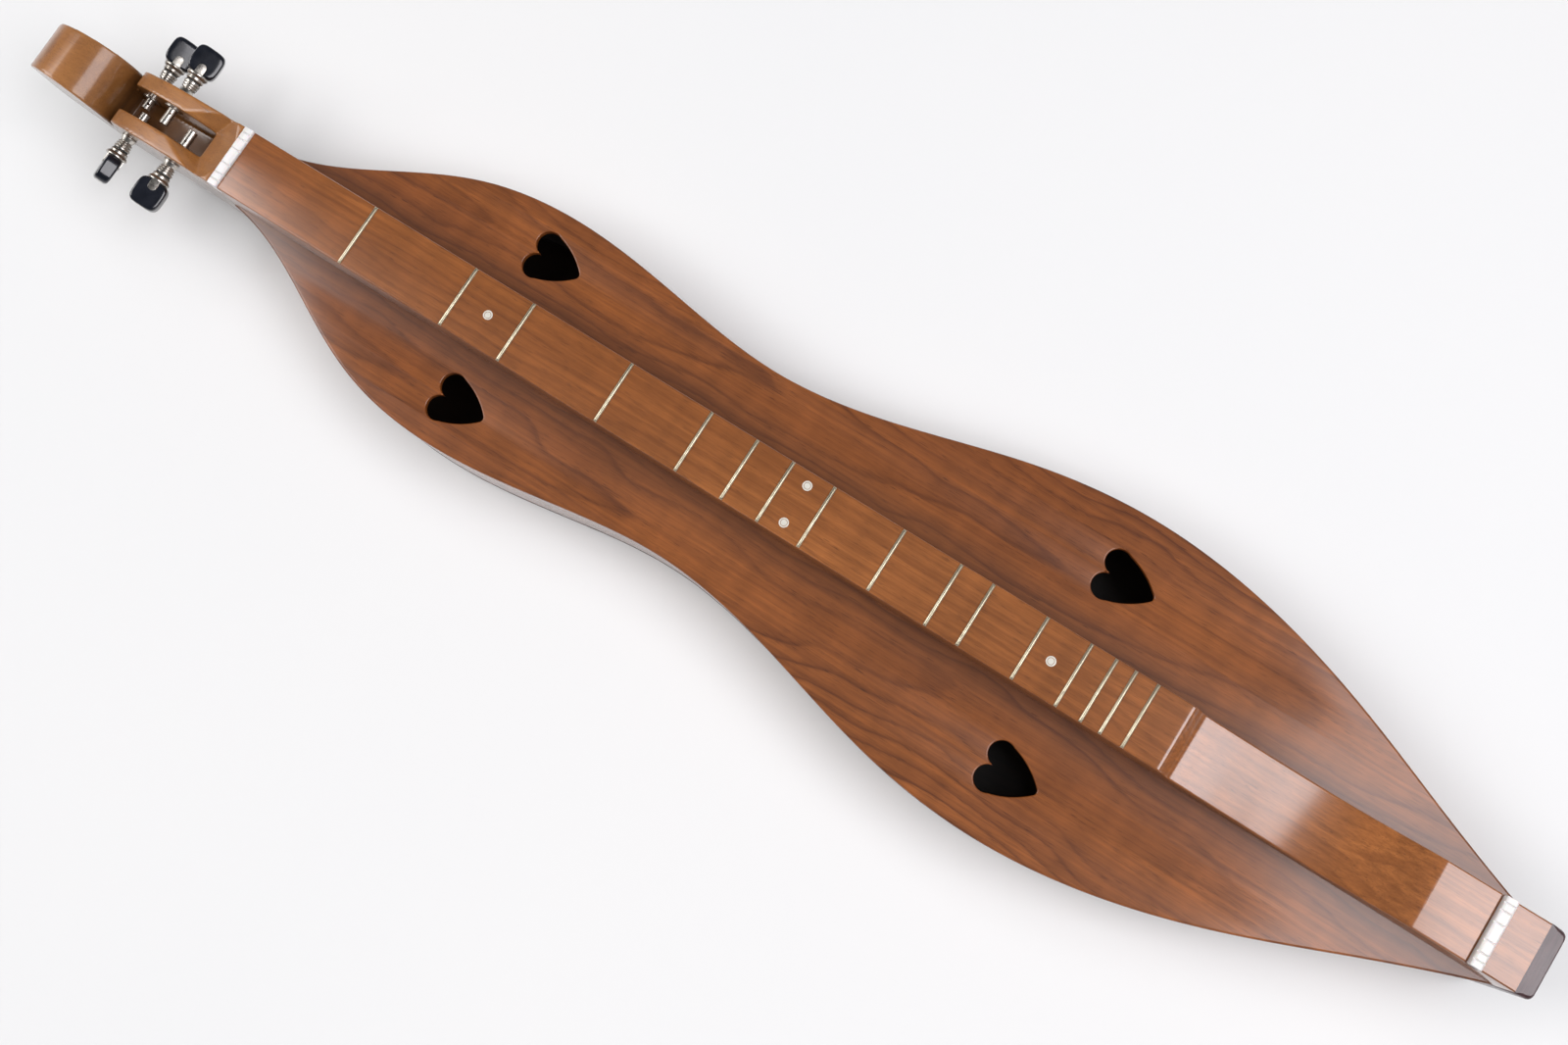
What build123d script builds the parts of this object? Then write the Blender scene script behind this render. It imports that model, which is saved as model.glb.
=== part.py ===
"""Mountain (lap) dulcimer: hourglass body, heart sound holes, scroll peghead and four friction tuners.

Drawn in millimetres with x measured from the nut's front edge towards the tail, y to the player's far
side and z up from the underside of the back.  save() shifts each piece so that the whole instrument is
centred on the row origin, which is the middle of its underside.
"""

from build123d import *
from math import cos, radians, sin
import os

# ---------------------------------------------------------------- driving dimensions
SCALE = 698.5                # nut to bridge, 27.5 inches
BODY_DEPTH = 48.0            # soundboard's top face above the underside of the back
FRETBOARD_HEIGHT = 22.0
FRETBOARD_WIDTH = 34.5
PLATE = 3.0                  # soundboard and back
SIDE = 2.5                   # bent ribs
LINING_WIDTH = 5.0
LINING_HEIGHT = 6.0
HEAD_BLOCK_END = 55.0
TAIL_BLOCK_START = 664.0
BRACE_WIDTH = 8.0
BRACE_HEIGHT = 9.0
BRACE_ROUND = 3.0
BACK_BRACES = {"upper": 205.0, "waist": 292.0, "lower": 430.0}    # clear of the sound holes
TOP_BRACES = {"upper": 224.0, "lower": 396.0}
CENTRE_STRIP_WIDTH = 15.0
CENTRE_STRIP = 2.0
BODY_END = 719.3             # where the dark tail cap begins
TAIL_CAP = 8.2
TAIL_CORNER = 5.0
TAIL_TOP_ROUND = 2.5

# Half width of the body against distance from the nut, with the slopes at its two ends.
HALF_WIDTHS = [
    (0.0, 17.8), (20.0, 22.4), (60.0, 40.5), (105.0, 60.9), (157.0, 68.6), (222.0, 62.2), (292.0, 54.2),
    (355.0, 63.2), (420.0, 80.1), (482.0, 87.5), (548.0, 80.3), (612.0, 60.7), (668.0, 37.3),
    (BODY_END, FRETBOARD_WIDTH / 2),
]
SLOPE_AT_NUT = 0.15
SLOPE_AT_TAIL = -0.36
FLANK_STEPS = 28             # points that carry an inset flank

BOARD_TOP = BODY_DEPTH
TOP = BODY_DEPTH + FRETBOARD_HEIGHT
HALF_BOARD = FRETBOARD_WIDTH / 2
BOARD_EDGE_ROUND = 0.8
CHANNEL_HALF = 8.0           # hollow milled under the fretboard to lighten it
CHANNEL_HEIGHT = 10.0
CHANNEL_START = 60.0
CHANNEL_END = 530.0
WIDE = 150.0                 # half width of a cutting box that clears the whole body
OVER = 5.0                   # how far a cutting box stands past what it cuts

# Just intonation: each fret stops the string at SCALE / ratio from the bridge.
FRET_RATIOS = [
    9 / 8, 5 / 4, 4 / 3, 3 / 2, 5 / 3, 16 / 9, 15 / 8, 2, 9 / 4, 5 / 2, 8 / 3, 3, 10 / 3, 32 / 9, 15 / 4, 4,
]
FRET_WIDTH = 1.8
FRET_CROWN = 1.0
FRET_TANG_WIDTH = 0.6
FRET_TANG_DEPTH = 1.8
FRET_END_SET_IN = 0.6

MARKER_RADIUS = 2.5
MARKER_DEPTH = 1.5
MARKERS = [(157.7, 0.0), (337.5, 10.4), (337.5, -10.4), (477.0, 0.0)]

HEARTS = [(160.4, 43.7), (487.1, 53.7)]
HEART_LOBE_RADIUS = 6.7
HEART_LOBE = (-5.9, 6.6)     # lobe's centre from the heart's centre; the tip points to the tail
HEART_SHOULDER_ANGLE = 58.0  # where the round lobe gives way to the flank
HEART_FLANK = (7.2, 8.35)
HEART_TIP = 17.6             # where the flanks would meet if the tip weren't blunted
HEART_TIP_ROUND = 2.4

# Strum hollow between the last fret and the bridge.
HOLLOW_START = 541.5
HOLLOW_END = 670.0
HOLLOW_DEPTH = 11.0

NUT_THICKNESS = 6.0
NUT_DEPTH = 8.0
NUT_PROUD = 1.8
BRIDGE_THICKNESS = 6.3
BRIDGE_FRONT = SCALE - 1.7
BRIDGE_DEPTH = 6.0
BRIDGE_PROUD = 3.2
STRING_SLOTS = [4.4, 10.35, 14.1]      # each side of the middle
STRING_SLOT_WIDTH = 0.7
STRING_SLOT_DEPTH = 0.9

# Peghead, from the nut towards the scroll, which is the negative x direction.
SCROLL_X = -111.0
SCROLL_Z = TOP - 20.0
SCROLL_RADIUS = 24.0
PEGHEAD_SHOULDER = -17.0     # where the underside has risen to the peghead's own depth
PEGHEAD_UNDERSIDE = TOP - 43.5
CHEEK_TIP_X = -76.5
CHEEK_TIP_Z = TOP - 9.0
THROAT_X = -88.0
THROAT_Z = TOP - 30.0
SLOT_HALF = 7.5
SLOT_FRONT = -22.5
SLOT_FLOOR_FRONT = TOP - 25.0
SLOT_FLOOR_BACK = TOP - 36.5
RAMP_DROP = 8.0              # fall of the ramp from the nut to the slot
FACET_END = -41.0            # where the cheeks' inner facets run out
FACET_START = -12.5
HALF_AT_TIPS = 16.3
HALF_AT_SCROLL = 14.4
SCROLL_CORNER = 5.0

# Friction tuners: name, x, height below the fretboard's top, side, the button's turn in degrees and
# how far the post stops short of the middle of the slot.
TUNERS = [
    ("tuner_1", -76.5, 26.0, 1, -32.0, 1.2),
    ("tuner_2", -53.0, 12.0, 1, -28.0, -2.3),
    ("tuner_3", -74.0, 26.0, -1, 52.0, 1.2),
    ("tuner_4", -36.3, 12.0, -1, -20.0, -2.3),
]
SHAFT_RADIUS = 2.5
RUNNING_GAP = 0.05
SLEEVE_RADIUS = 3.5
FERRULE_RADIUS = 5.0
FERRULE_FLANGE = 0.8
BUSHING_LENGTH = 7.6
WASHER = 0.8
FACE_GAP = 0.15
COLLAR_BASE = 2.0
COLLAR_FLANGE = 2.4
COLLAR_RADIUS = 5.7
BUTTON_WIDTH = 15.5
BUTTON_THICKNESS = 8.0
BUTTON_LENGTH = 15.0
BUTTON_CORNER = 4.2
BUTTON_RIM_ROUND = 1.5
TAB_HALF = 2.3               # collar's rounded tongues on the button's two faces
TAB_REACH = 3.4
TAB_THICKNESS = 0.5
SCREW_RADIUS = 1.3
SCREW_HEAD_RADIUS = 2.8
SCREW_RECESS = 2.0           # depth of the counterbore in the button's end
SHAFT_TO_END = 4.0           # from the post's outer end to the button's end
STRING_HOLE_RADIUS = 0.7
STRING_HOLE_Y = 4.0

PIN_RADIUS = 1.0
PIN_HEAD_RADIUS = 1.7
PIN_HEAD = 1.0
PIN_PROUD = 3.0
PIN_SET_IN = 5.0
PIN_DROP = 14.0

SCROLL_END = SCROLL_X - SCROLL_RADIUS
TAIL_END = BODY_END + TAIL_CAP
NUT_X = -(SCROLL_END + TAIL_END + PIN_PROUD) / 2


# ---------------------------------------------------------------- helpers
def save(name, shape):
    """Writes one node, shifted from nut coordinates to the row's own origin."""
    export_step(Pos(NUT_X, 0, 0) * shape, f"parts/{name}.step")


def block(x0, x1, y0, y1, z0, z1):
    """A box between two corners."""
    return Pos((x0 + x1) / 2, (y0 + y1) / 2, (z0 + z1) / 2) * Box(x1 - x0, y1 - y0, z1 - z0)


def group(shapes):
    """Separate solids that share one node."""
    return Compound(children=list(shapes))


def side_extrusion(face_edges, half):
    """A side profile drawn in x and z, extruded to plus and minus half along y."""
    face = make_face(Plane.XZ * face_edges)
    return extrude(face, amount=half, both=True)


def curve(points, start_slope, end_slope):
    """A spline through points with unit tangents at its two ends, which keep it free of loops."""
    return Spline(*points, tangents=[start_slope, end_slope], tangent_scalars=[1, 1])


def disc(x, z, y0, y1, radius):
    """A round piece lying along y."""
    low, high = min(y0, y1), max(y0, y1)
    return Pos(x, (low + high) / 2, z) * Rot(90, 0, 0) * Cylinder(radius, high - low)


def cone(x, z, y0, y1, r0, r1):
    """A tapered piece along y, r0 at y0 and r1 at y1."""
    turned = Rot(-90, 0, 0) if y1 > y0 else Rot(90, 0, 0)
    return Pos(x, (y0 + y1) / 2, z) * turned * Cone(r0, r1, abs(y1 - y0))


# ---------------------------------------------------------------- body
def flank(inset):
    """One long side of the outline, moved inwards along its own normals."""
    edge = curve(HALF_WIDTHS, (1, SLOPE_AT_NUT), (1, SLOPE_AT_TAIL))
    if not inset:
        return edge
    points = []
    for step in range(FLANK_STEPS + 1):
        along = edge % (step / FLANK_STEPS)
        points.append(edge @ (step / FLANK_STEPS) + Vector(along.Y, -along.X) * inset)
    return Spline(*points)


def outline(inset=0.0):
    """The hourglass seen from above, its two flanks inset by the same amount."""
    upper = flank(inset)
    start, end = upper @ 0, upper @ 1
    edges = [
        upper,
        Line(end, (end.X, -end.Y)),
        mirror(upper, about=Plane.XZ),
        Line((start.X, -start.Y), start),
    ]
    return make_face(Curve() + edges)


def slab(face, z0, z1):
    """An outline made into a plate between two heights."""
    return extrude(Pos(0, 0, z0) * face, amount=z1 - z0, dir=(0, 0, 1))


def half_of(shape, side, x0=-OVER, x1=BODY_END + OVER):
    """The part of a shape on one side of the middle and between two stations."""
    low, high = (0.0, WIDE) if side > 0 else (-WIDE, 0.0)
    return shape & block(x0, x1, low, high, -OVER, TOP + OVER)


def heart():
    """A heart-shaped sketch with its tip towards positive x."""
    lobe_x, lobe_y = HEART_LOBE
    lobes = [Pos(lobe_x, side * lobe_y) * Circle(HEART_LOBE_RADIUS) for side in (1, -1)]
    turn = radians(HEART_SHOULDER_ANGLE)
    shoulder = (lobe_x + HEART_LOBE_RADIUS * cos(turn), lobe_y + HEART_LOBE_RADIUS * sin(turn))
    tip = (HEART_TIP, 0.0)
    inner = (lobe_x, 0.0)
    upper = make_face(Curve() + [
        ThreePointArc(shoulder, HEART_FLANK, tip),
        Line(tip, inner),
        Line(inner, HEART_LOBE),
        Line(HEART_LOBE, shoulder),
    ])
    whole = lobes[0] + lobes[1] + upper + mirror(upper, about=Plane.XZ)
    return fillet(whole.vertices().sort_by(Axis.X)[-1], HEART_TIP_ROUND)


def build_plates():
    full = outline()
    soundboard = slab(full, BODY_DEPTH - PLATE, BODY_DEPTH)
    for x, y in HEARTS:
        for side in (1, -1):
            hole = extrude(Pos(x, side * y, BODY_DEPTH - PLATE - 1) * heart(), amount=PLATE + 2)
            soundboard -= hole
    back = slab(full, 0.0, PLATE)
    for name, side in (("left", 1), ("right", -1)):
        save(f"soundboard_{name}", half_of(soundboard, side))
        save(f"back_{name}", half_of(back, side))


def build_sides_and_blocks():
    outer, inner = outline(), outline(SIDE)
    low, high = PLATE, BODY_DEPTH - PLATE
    ribs = slab(outer, low, high) - slab(inner, low - 1, high + 1)
    inside = slab(inner, low, high)
    core = slab(outline(SIDE + LINING_WIDTH), low - 1, high + 1)
    rim = inside - core
    for name, side in (("left", 1), ("right", -1)):
        save(f"side_{name}", half_of(ribs, side, SIDE, BODY_END - SIDE))
        strip = half_of(rim, side, HEAD_BLOCK_END, TAIL_BLOCK_START)
        save(f"top_lining_{name}", strip & block(0, BODY_END, -WIDE, WIDE, high - LINING_HEIGHT, high))
        save(f"back_lining_{name}", strip & block(0, BODY_END, -WIDE, WIDE, low, low + LINING_HEIGHT))
    ends = slab(outer, low, high)
    head = inside & block(SIDE, HEAD_BLOCK_END, -WIDE, WIDE, low, high)
    head += ends & block(0, SIDE, -WIDE, WIDE, low, high)
    tail = inside & block(TAIL_BLOCK_START, BODY_END - SIDE, -WIDE, WIDE, low, high)
    tail += ends & block(BODY_END - SIDE, BODY_END, -WIDE, WIDE, low, high)
    save("head_block", head)
    save("tail_block", tail)


def build_braces():
    core = slab(outline(SIDE + LINING_WIDTH), 0, BODY_DEPTH)
    low, high = PLATE, BODY_DEPTH - PLATE
    half = CENTRE_STRIP_WIDTH / 2
    strip = block(HEAD_BLOCK_END, TAIL_BLOCK_START, -half, half, low, low + CENTRE_STRIP)
    save("back_centre_strip", strip)
    for name, x in BACK_BRACES.items():
        bar = block(x - BRACE_WIDTH / 2, x + BRACE_WIDTH / 2, -WIDE, WIDE, low, low + BRACE_HEIGHT)
        bar = fillet(bar.faces().sort_by(Axis.Z)[-1].edges().filter_by(Axis.Y), BRACE_ROUND)
        save(f"back_brace_{name}", (bar & core) - strip)
    for name, x in TOP_BRACES.items():
        bar = block(x - BRACE_WIDTH / 2, x + BRACE_WIDTH / 2, -WIDE, WIDE, high - BRACE_HEIGHT, high)
        bar = fillet(bar.faces().sort_by(Axis.Z)[0].edges().filter_by(Axis.Y), BRACE_ROUND)
        save(f"top_brace_{name}", bar & core)


# ---------------------------------------------------------------- fretboard and what is set in it
def fret_stations():
    return [SCALE * (1 - 1 / ratio) for ratio in FRET_RATIOS]


def strum_hollow():
    """The scoop's side profile: a short curved drop, a long shallow floor and a rise to the bridge."""
    x0, x1 = HOLLOW_START, HOLLOW_END
    lip_foot = (x0 + 16.0, TOP - 7.2)
    lip = curve([(x0, TOP), (x0 + 6.0, TOP - 5.0), lip_foot], (1, -0.25), (1, -0.13))
    floor = curve(
        [lip_foot, (x0 + 68.0, TOP - HOLLOW_DEPTH), (x1 - 26.0, TOP - 6.8), (x1, TOP)], (1, -0.13), (1, 0.12)
    )
    edges = Curve() + [
        lip,
        floor,
        Line((x1, TOP), (x1, TOP + OVER)),
        Line((x1, TOP + OVER), (x0, TOP + OVER)),
        Line((x0, TOP + OVER), (x0, TOP)),
    ]
    return side_extrusion(edges, FRETBOARD_WIDTH)


def build_fretboard():
    section = Pos(0, 0, BOARD_TOP + FRETBOARD_HEIGHT / 2) * (
        Plane.YZ * Rectangle(FRETBOARD_WIDTH, FRETBOARD_HEIGHT)
    )
    top_corners = section.vertices().sort_by(Axis.Z)[-2:]
    board = extrude(fillet(top_corners, BOARD_EDGE_ROUND), amount=BODY_END)
    half = FRET_TANG_WIDTH / 2
    for x in fret_stations():
        board -= block(x - half, x + half, -WIDE, WIDE, TOP - FRET_TANG_DEPTH, TOP + OVER)
    for x, y in MARKERS:
        board -= Pos(x, y, TOP) * Cylinder(MARKER_RADIUS, 2 * MARKER_DEPTH)
    board -= block(
        CHANNEL_START, CHANNEL_END, -CHANNEL_HALF, CHANNEL_HALF, BOARD_TOP - OVER, BOARD_TOP + CHANNEL_HEIGHT
    )
    board -= block(
        BRIDGE_FRONT, BRIDGE_FRONT + BRIDGE_THICKNESS, -WIDE, WIDE, TOP - BRIDGE_DEPTH, TOP + OVER
    )
    board -= strum_hollow()
    save("fretboard", board)


def fret(x):
    """One length of T-section wire with its crown ends rounded over."""
    half = FRET_WIDTH / 2
    crown = make_face(Plane.XZ * (Curve() + [
        ThreePointArc((x - half, TOP), (x, TOP + FRET_CROWN), (x + half, TOP)),
        Line((x + half, TOP), (x - half, TOP)),
    ]))
    reach = HALF_BOARD - FRET_END_SET_IN
    wire = extrude(crown, amount=reach, both=True)
    half = FRET_TANG_WIDTH / 2
    tang = block(x - half, x + half, -reach, reach, TOP - FRET_TANG_DEPTH, TOP + FRET_CROWN / 3)
    return wire + tang


def slotted_strip(x0, x1, z0, z1, back_bevel, front_bevel):
    """A bone strip across the board, its top edges eased and its string slots cut."""
    top_edges = Curve() + [
        Line((x0, z0), (x1, z0)),
        Line((x1, z0), (x1, z1 - front_bevel)),
        Line((x1, z1 - front_bevel), (x1 - front_bevel, z1)),
        Line((x1 - front_bevel, z1), (x0 + back_bevel, z1)),
        Line((x0 + back_bevel, z1), (x0, z1 - back_bevel)),
        Line((x0, z1 - back_bevel), (x0, z0)),
    ]
    strip = side_extrusion(top_edges, HALF_BOARD)
    half = STRING_SLOT_WIDTH / 2
    for y in STRING_SLOTS:
        for side in (1, -1):
            middle = side * y
            strip -= block(x0 - 1, x1 + 1, middle - half, middle + half, z1 - STRING_SLOT_DEPTH, z1 + 1)
    return strip


def build_fittings():
    save("frets", group(fret(x) for x in fret_stations()))
    save("marker_dots", group(
        Pos(x, y, TOP - MARKER_DEPTH / 2) * Cylinder(MARKER_RADIUS, MARKER_DEPTH) for x, y in MARKERS
    ))
    save("nut", slotted_strip(-NUT_THICKNESS, 0, TOP - NUT_DEPTH, TOP + NUT_PROUD, 0.8, 0.5))
    save("bridge", slotted_strip(
        BRIDGE_FRONT, BRIDGE_FRONT + BRIDGE_THICKNESS, TOP - BRIDGE_DEPTH, TOP + BRIDGE_PROUD, 1.6, 0.6
    ))


def build_tail():
    cap = block(BODY_END, TAIL_END, -HALF_BOARD, HALF_BOARD, 0, TOP)
    corners = cap.faces().sort_by(Axis.X)[-1].edges().filter_by(Axis.Z)
    cap = fillet(corners, TAIL_CORNER)
    rim = cap.faces().sort_by(Axis.Z)[-1].edges()
    cap = fillet([edge for edge in rim if edge.center().X > BODY_END + 1], TAIL_TOP_ROUND)
    pins = []
    for y in (STRING_SLOTS[0], STRING_SLOTS[2]):
        for side in (1, -1):
            place = Pos(TAIL_END, side * y, TOP - PIN_DROP) * Rot(0, 90, 0)
            stem_length = PIN_SET_IN + PIN_PROUD - PIN_HEAD
            stem = Pos(0, 0, stem_length / 2 - PIN_SET_IN) * Cylinder(PIN_RADIUS, stem_length)
            head = Pos(0, 0, PIN_PROUD - PIN_HEAD / 2) * Cylinder(PIN_HEAD_RADIUS, PIN_HEAD)
            cap -= place * stem
            pins.append(place * (stem + head))
    save("tail_cap", cap)
    save("string_pins", group(pins))


# ---------------------------------------------------------------- peghead
def on_scroll(degrees):
    """A point on the scroll's round, measured up from the direction of the nut."""
    turn = radians(degrees)
    return (SCROLL_X + SCROLL_RADIUS * cos(turn), SCROLL_Z + SCROLL_RADIUS * sin(turn))


def peghead_profile():
    """Side view: shoulder, underside, round scroll, throat and the cheeks' top line."""
    throat = (THROAT_X, THROAT_Z)
    tip = (CHEEK_TIP_X, CHEEK_TIP_Z)
    heel = (PEGHEAD_SHOULDER - 8.0, PEGHEAD_UNDERSIDE)
    return Curve() + [
        Line((0, TOP), (0, 0)),
        curve([(0, 0), (-5.0, PEGHEAD_UNDERSIDE * 0.72), heel], (-0.02, 1), (-1, 0)),
        Line(heel, on_scroll(-90)),
        ThreePointArc(on_scroll(-90), on_scroll(-135), on_scroll(-180)),
        ThreePointArc(on_scroll(-180), on_scroll(120), on_scroll(-8)),
        ThreePointArc(on_scroll(-8), (THROAT_X + 0.6, THROAT_Z + 2.5), throat),
        curve([throat, (THROAT_X + 5.5, THROAT_Z + 10.0), tip], (0.45, 1), (0.5, 1)),
        curve(
            [tip, (CHEEK_TIP_X + 7.0, TOP - 5.2), (FACET_END, TOP - 0.6), (FACET_START, TOP)],
            (0.9, 1), (1, 0),
        ),
        Line((FACET_START, TOP), (0, TOP)),
    ]


def peghead_plan():
    """Seen from above: tapering sides, rounded at the scroll's far corners."""
    edges = [
        (0.0, HALF_BOARD), (CHEEK_TIP_X, HALF_AT_TIPS), (SCROLL_X, HALF_AT_SCROLL),
        (SCROLL_END, HALF_AT_SCROLL - 1.0),
    ]
    loop = edges + [(x, -y) for x, y in reversed(edges)]
    plan = make_face(Polyline(*loop, close=True))
    far_corners = [v for v in plan.vertices() if abs(v.X - SCROLL_END) < 0.01]
    return fillet(far_corners, SCROLL_CORNER)


def polygon(*corners):
    """A flat face with straight edges in space."""
    return Face(Wire(Polyline(*corners, close=True).edges()))


def facet_cutter(side):
    """The wedge above one cheek's inner facet, which widens from the slot's front out to the rim."""
    outer, inner = side * (HALF_BOARD + 3.0), side * SLOT_HALF
    floor, lid = TOP - RAMP_DROP, TOP + OVER
    slot_corner = (SLOT_FRONT, inner, floor)
    nut_inner = (-NUT_THICKNESS, inner, TOP)
    nut_outer = (-NUT_THICKNESS, outer, TOP)
    rim = (FACET_START, outer, TOP)
    run_out = (FACET_END, inner, TOP)
    above = {corner: (corner[0], corner[1], lid) for corner in (nut_inner, nut_outer, rim, run_out)}
    faces = [
        polygon(nut_inner, slot_corner, rim),
        polygon(slot_corner, run_out, rim),
        polygon(nut_inner, rim, nut_outer),
        polygon(nut_inner, slot_corner, run_out, above[run_out], above[nut_inner]),
        polygon(run_out, rim, above[rim], above[run_out]),
        polygon(rim, nut_outer, above[nut_outer], above[rim]),
        polygon(nut_outer, nut_inner, above[nut_inner], above[nut_outer]),
        polygon(above[nut_inner], above[run_out], above[rim], above[nut_outer]),
    ]
    return Solid(Shell(faces))


def ramp_cutter():
    """The wedge above the ramp that falls from the nut to the slot."""
    floor, back = TOP - RAMP_DROP, SLOT_FRONT - 25.0
    return side_extrusion(Curve() + [Polyline(
        (-NUT_THICKNESS, TOP), (SLOT_FRONT, floor), (back, floor), (back, TOP + OVER),
        (-NUT_THICKNESS, TOP + OVER),
        close=True,
    )], SLOT_HALF)


def build_peghead():
    head = side_extrusion(peghead_profile(), FRETBOARD_WIDTH)
    head &= extrude(Pos(0, 0, -OVER) * peghead_plan(), amount=TOP + 2 * OVER)
    slot = side_extrusion(Curve() + [Polyline(
        (SLOT_FRONT, SLOT_FLOOR_FRONT), (THROAT_X, SLOT_FLOOR_BACK), (THROAT_X, TOP + OVER),
        (SLOT_FRONT, TOP + OVER),
        close=True,
    )], SLOT_HALF)
    head -= slot - disc(SCROLL_X, SCROLL_Z, -WIDE, WIDE, SCROLL_RADIUS)
    for cutter in (ramp_cutter(), facet_cutter(1), facet_cutter(-1)):
        head -= cutter
    head -= block(-NUT_THICKNESS, 0, -WIDE, WIDE, TOP - NUT_DEPTH, TOP + OVER)
    for tuner in TUNERS:
        _, x, drop, side, _, _ = tuner
        head -= disc(x, TOP - drop, side * (SLOT_HALF - 0.5), side * WIDE, SLEEVE_RADIUS)
    save("peghead", head)


# ---------------------------------------------------------------- tuners
def cheek_half_width(x):
    """Half the peghead's width where a tuner goes through it."""
    return HALF_BOARD + (HALF_AT_TIPS - HALF_BOARD) * x / CHEEK_TIP_X


class TunerAxis:
    """Makes round pieces along one tuner's axis, with y counted outwards from the middle."""

    def __init__(self, x, drop, side, turn):
        self.x, self.z, self.side = x, TOP - drop, side
        centre = Pos(self.x, 0, self.z)
        self.turned = centre * Rot(0, -turn, 0) * centre.inverse()

    def disc(self, y0, y1, radius):
        return disc(self.x, self.z, self.side * y0, self.side * y1, radius)

    def cone(self, y0, y1, r0, r1):
        return cone(self.x, self.z, self.side * y0, self.side * y1, r0, r1)

    def ring(self, y0, y1, radius, bore):
        return self.disc(y0, y1, radius) - self.disc(y0 - 1.0, y1 + 1.0, bore)

    def at(self, y, lift=0.0):
        return Pos(self.x, self.side * y, self.z + lift)


def build_bearing(name, axis, seat, bore):
    """Ferrule pressed in from the slot, and the ringed bushing pressed in from outside."""
    split = (SLOT_HALF + seat) / 2
    ferrule = axis.ring(SLOT_HALF, split, SLEEVE_RADIUS, bore)
    ferrule += axis.ring(SLOT_HALF - FERRULE_FLANGE, SLOT_HALF, FERRULE_RADIUS, bore)
    save(f"{name}_ferrule", ferrule)
    bushing = axis.disc(split, seat, SLEEVE_RADIUS)
    bushing += axis.cone(seat, seat + 3.2, 3.9, 3.1)
    bushing += axis.cone(seat + 3.2, seat + 4.8, 3.6, 4.1)
    bushing += axis.cone(seat + 4.8, seat + BUSHING_LENGTH, 3.7, 4.3)
    bushing -= axis.disc(split - 1.0, seat + BUSHING_LENGTH + 1.0, bore)
    save(f"{name}_bushing", bushing)


def build_collar(name, axis, start):
    """Metal collar with a tongue on each face of the button; returns where the button begins."""
    flange = start + COLLAR_BASE
    end = flange + COLLAR_FLANGE
    collar = axis.disc(start, flange, 4.6)
    collar += axis.cone(flange, flange + 1.2, 4.9, COLLAR_RADIUS)
    collar += axis.disc(flange + 1.2, end, COLLAR_RADIUS)
    for face in (1, -1):
        lift = face * (BUTTON_THICKNESS + TAB_THICKNESS) / 2
        length = TAB_REACH + 0.4
        collar += axis.at(end + TAB_REACH - length / 2, lift) * Box(2 * TAB_HALF, length, TAB_THICKNESS)
        collar += axis.at(end + TAB_REACH, lift) * Cylinder(TAB_HALF, TAB_THICKNESS)
    collar -= axis.disc(start - 1.0, end + 1.0, SHAFT_RADIUS)
    save(f"{name}_collar", axis.turned * collar)
    return end


def build_button(name, axis, start):
    """Moulded button and the screw that holds it on the post's end."""
    end = start + BUTTON_LENGTH
    shaft_end, recess = end - SHAFT_TO_END, end - SCREW_RECESS
    button = axis.at(start + BUTTON_LENGTH / 2) * Box(BUTTON_WIDTH, BUTTON_LENGTH, BUTTON_THICKNESS)
    button = fillet(button.edges().filter_by(Axis.Z), BUTTON_CORNER)
    button = fillet(button.faces().filter_by(Axis.Z).edges(), BUTTON_RIM_ROUND)
    button -= axis.disc(start - 1.0, shaft_end, SHAFT_RADIUS)
    button -= axis.disc(shaft_end, recess, SCREW_RADIUS)
    button -= axis.disc(recess, end + 1.0, SCREW_HEAD_RADIUS + 0.1)
    save(f"{name}_button", axis.turned * button)
    screw = axis.disc(shaft_end, recess, SCREW_RADIUS)
    screw += axis.disc(recess, end - 0.5, SCREW_HEAD_RADIUS)
    screw -= axis.at(end - 0.5) * Box(2 * SCREW_HEAD_RADIUS + 0.2, 1.4, 0.9)
    save(f"{name}_screw", axis.turned * screw)
    return shaft_end


def build_tuner(name, x, drop, side, turn, reach):
    axis = TunerAxis(x, drop, side, turn)
    bore = SHAFT_RADIUS + RUNNING_GAP
    seat = cheek_half_width(x + 4.0)
    build_bearing(name, axis, seat, bore)
    washer = seat + BUSHING_LENGTH
    save(f"{name}_washer", axis.ring(washer, washer + WASHER, 3.9, bore))
    button_start = build_collar(name, axis, washer + WASHER + FACE_GAP)
    shaft_end = build_button(name, axis, button_start)
    post = axis.disc(reach, shaft_end, SHAFT_RADIUS)
    post -= axis.at(STRING_HOLE_Y) * Cylinder(STRING_HOLE_RADIUS, 4 * SHAFT_RADIUS)
    save(f"{name}_post", axis.turned * post)


def main():
    os.makedirs("parts", exist_ok=True)
    build_plates()
    build_sides_and_blocks()
    build_braces()
    build_fretboard()
    build_fittings()
    build_tail()
    build_peghead()
    for tuner in TUNERS:
        build_tuner(*tuner)


main()
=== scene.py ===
"""Looks of the mountain dulcimer: walnut body, carved peghead, hardware, floor, lights and camera.

Everything is in metres in the row frame: x from the scroll to the tail, y to the far side, z up from the
underside of the back.  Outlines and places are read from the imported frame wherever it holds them.
"""

from math import asin, atan2, cos, degrees, pi, radians, sin, sqrt

import bmesh
import bpy
import numpy as np
from mathutils import Matrix, Vector
from mathutils.geometry import tessellate_polygon


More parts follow.
